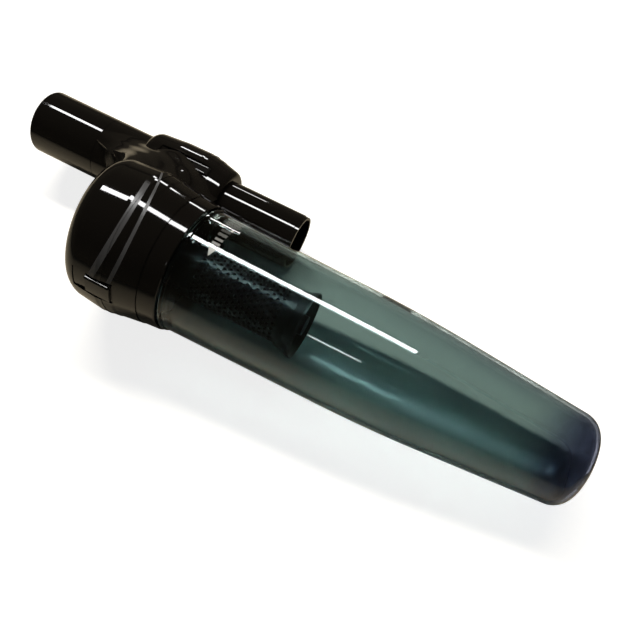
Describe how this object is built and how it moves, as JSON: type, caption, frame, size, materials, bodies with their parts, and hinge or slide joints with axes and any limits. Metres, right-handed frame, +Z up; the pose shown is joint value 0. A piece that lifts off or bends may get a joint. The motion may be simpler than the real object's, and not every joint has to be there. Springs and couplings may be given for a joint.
{
  "type": "cyclone filter",
  "caption": "In-line vacuum cleaner cyclone filter: glossy black head with side duct and socket, long tapered smoke-clear dust cup, perforated inner filter.",
  "frame": {"origin": "centre of the bounding box at its bottom face, on the floor that the part lies on", "axes": "+X along the length from the outlet socket to the cup tip, +Z up with the part lying down, +Y from the cup towards the tube line"},
  "size_m": [0.3958, 0.1294, 0.0916],
  "materials": {
    "head_black": "high gloss",
    "cup_smoke": "clear, smoke blue-green tint",
    "clip_black": "gloss",
    "filter_black": "satin",
    "seal_rubber": "matte",
    "mesh_grey": "fine mesh",
    "foam_grey": "open foam"
  },
  "bodies": {
    "head": {"clip_rear": "clip_black", "clip_side_far": "clip_black", "clip_side_near": "clip_black", "cover_gasket": "seal_rubber", "cup_gasket": "seal_rubber", "dome_cover": "head_black", "filter_cage": "filter_black", "filter_cap": "filter_black", "filter_foam": "foam_grey", "filter_gasket": "seal_rubber", "filter_mesh": "mesh_grey", "filter_neck": "filter_black", "filter_skirt": "filter_black", "head_body": "head_black", "inlet_guide": "head_black", "inlet_spigot": "head_black", "lock_collar": "head_black", "neck_ring": "filter_black", "outlet_tube": "head_black", "socket_seal": "seal_rubber"},
    "cup": {"cup": "cup_smoke"}
  },
  "joints": [
    {"name": "cup_twist", "type": "hinge", "parent": "head", "child": "cup", "pos_m": [-0.0456, -0.01954, 0.04413], "axis": [-0.9977, 0, 0.068], "range_deg": [0, 25]}
  ]
}
